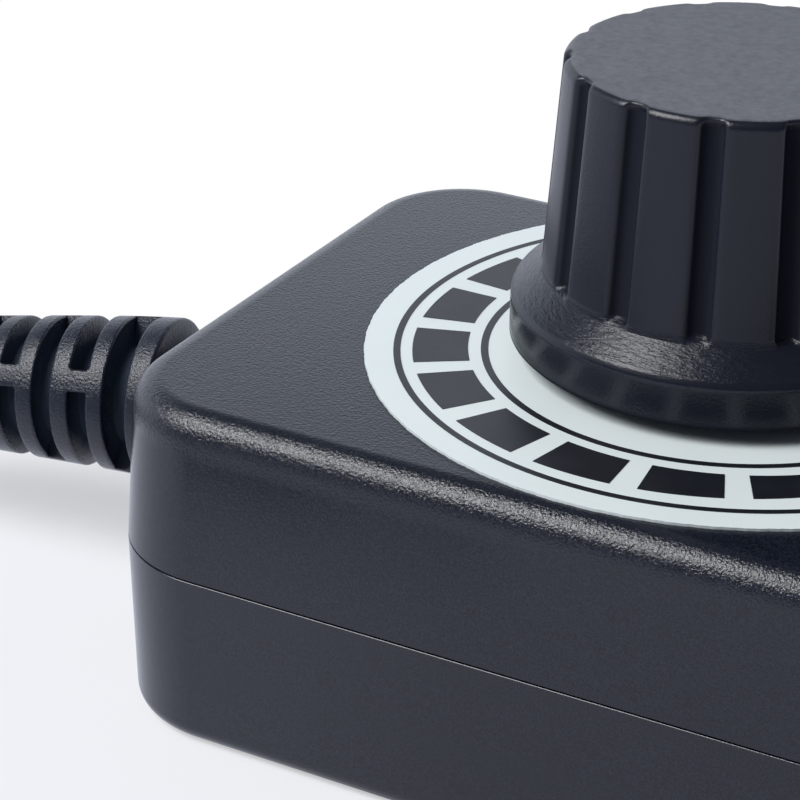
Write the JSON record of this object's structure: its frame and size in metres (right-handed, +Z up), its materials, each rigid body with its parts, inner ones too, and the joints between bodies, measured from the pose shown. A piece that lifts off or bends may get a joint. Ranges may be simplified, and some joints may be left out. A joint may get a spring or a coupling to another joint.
{
  "type": "rotary led dimmer",
  "caption": "In-line rotary LED dimmer: rounded black box with a fluted knob over a segmented dial, a slotted strain relief, a lead with barrel plug and a socket.",
  "frame": {"origin": "middle of the housing's underside, on the surface it stands on", "axes": "+X along the housing from the lead's end to the socket's end, +Y towards the back, +Z up along the knob's axis"},
  "size_m": [0.119, 0.0791, 0.0367],
  "materials": {
    "housing_plastic": "fine spark-eroded texture",
    "label_white": "satin paper-faced sticker",
    "label_ink": "printed ink",
    "knob_plastic": "satin, scuffed on the skirt",
    "plated_metal": "bright plating",
    "element_board": "phenolic",
    "package_black": "moulded resin",
    "contact_brass": "rolled strip",
    "board_green": "solder mask",
    "can_sleeve": "shrunk sleeve",
    "ceramic_tan": "fired ceramic",
    "jack_plastic": "smooth moulding",
    "relief_vinyl": "grained flexible vinyl",
    "lead_vinyl": "satin vinyl jacket",
    "wire_red": "wire insulation",
    "wire_black": "wire insulation"
  },
  "bodies": {
    "housing": {"top_shell": "housing_plastic", "bottom_shell": "housing_plastic", "dial_label": "label_white", "dial_print": "label_ink", "pot_bushing": "plated_metal", "pot_washer": "plated_metal", "pot_nut": "plated_metal", "pot_wafer": "element_board", "pot_case": "plated_metal", "pot_terminals": "plated_metal", "circuit_board": "board_green", "power_transistor": "package_black", "timer_chip": "package_black", "reservoir_capacitor": "can_sleeve", "ceramic_capacitors": "ceramic_tan", "chip_resistors": "package_black", "blocking_diode": "package_black", "jack_body": "jack_plastic", "jack_pin": "plated_metal", "jack_spring": "plated_metal", "strain_relief": "relief_vinyl", "lead_cord": "lead_vinyl", "lead_wire_positive": "wire_red", "lead_wire_negative": "wire_black", "plug_overmould": "relief_vinyl", "plug_sleeve": "plated_metal", "plug_insulator": "jack_plastic", "plug_contact": "contact_brass"},
    "spindle": {"knob": "knob_plastic", "pot_shaft": "plated_metal", "pot_rotor": "package_black", "pot_wiper": "contact_brass"}
  },
  "joints": [
    {"name": "knob_turn", "type": "hinge", "parent": "housing", "child": "spindle", "pos_m": [0, 0.00315, 0.02005], "axis": [0, 0, 1], "range_deg": [-150, 150]}
  ]
}
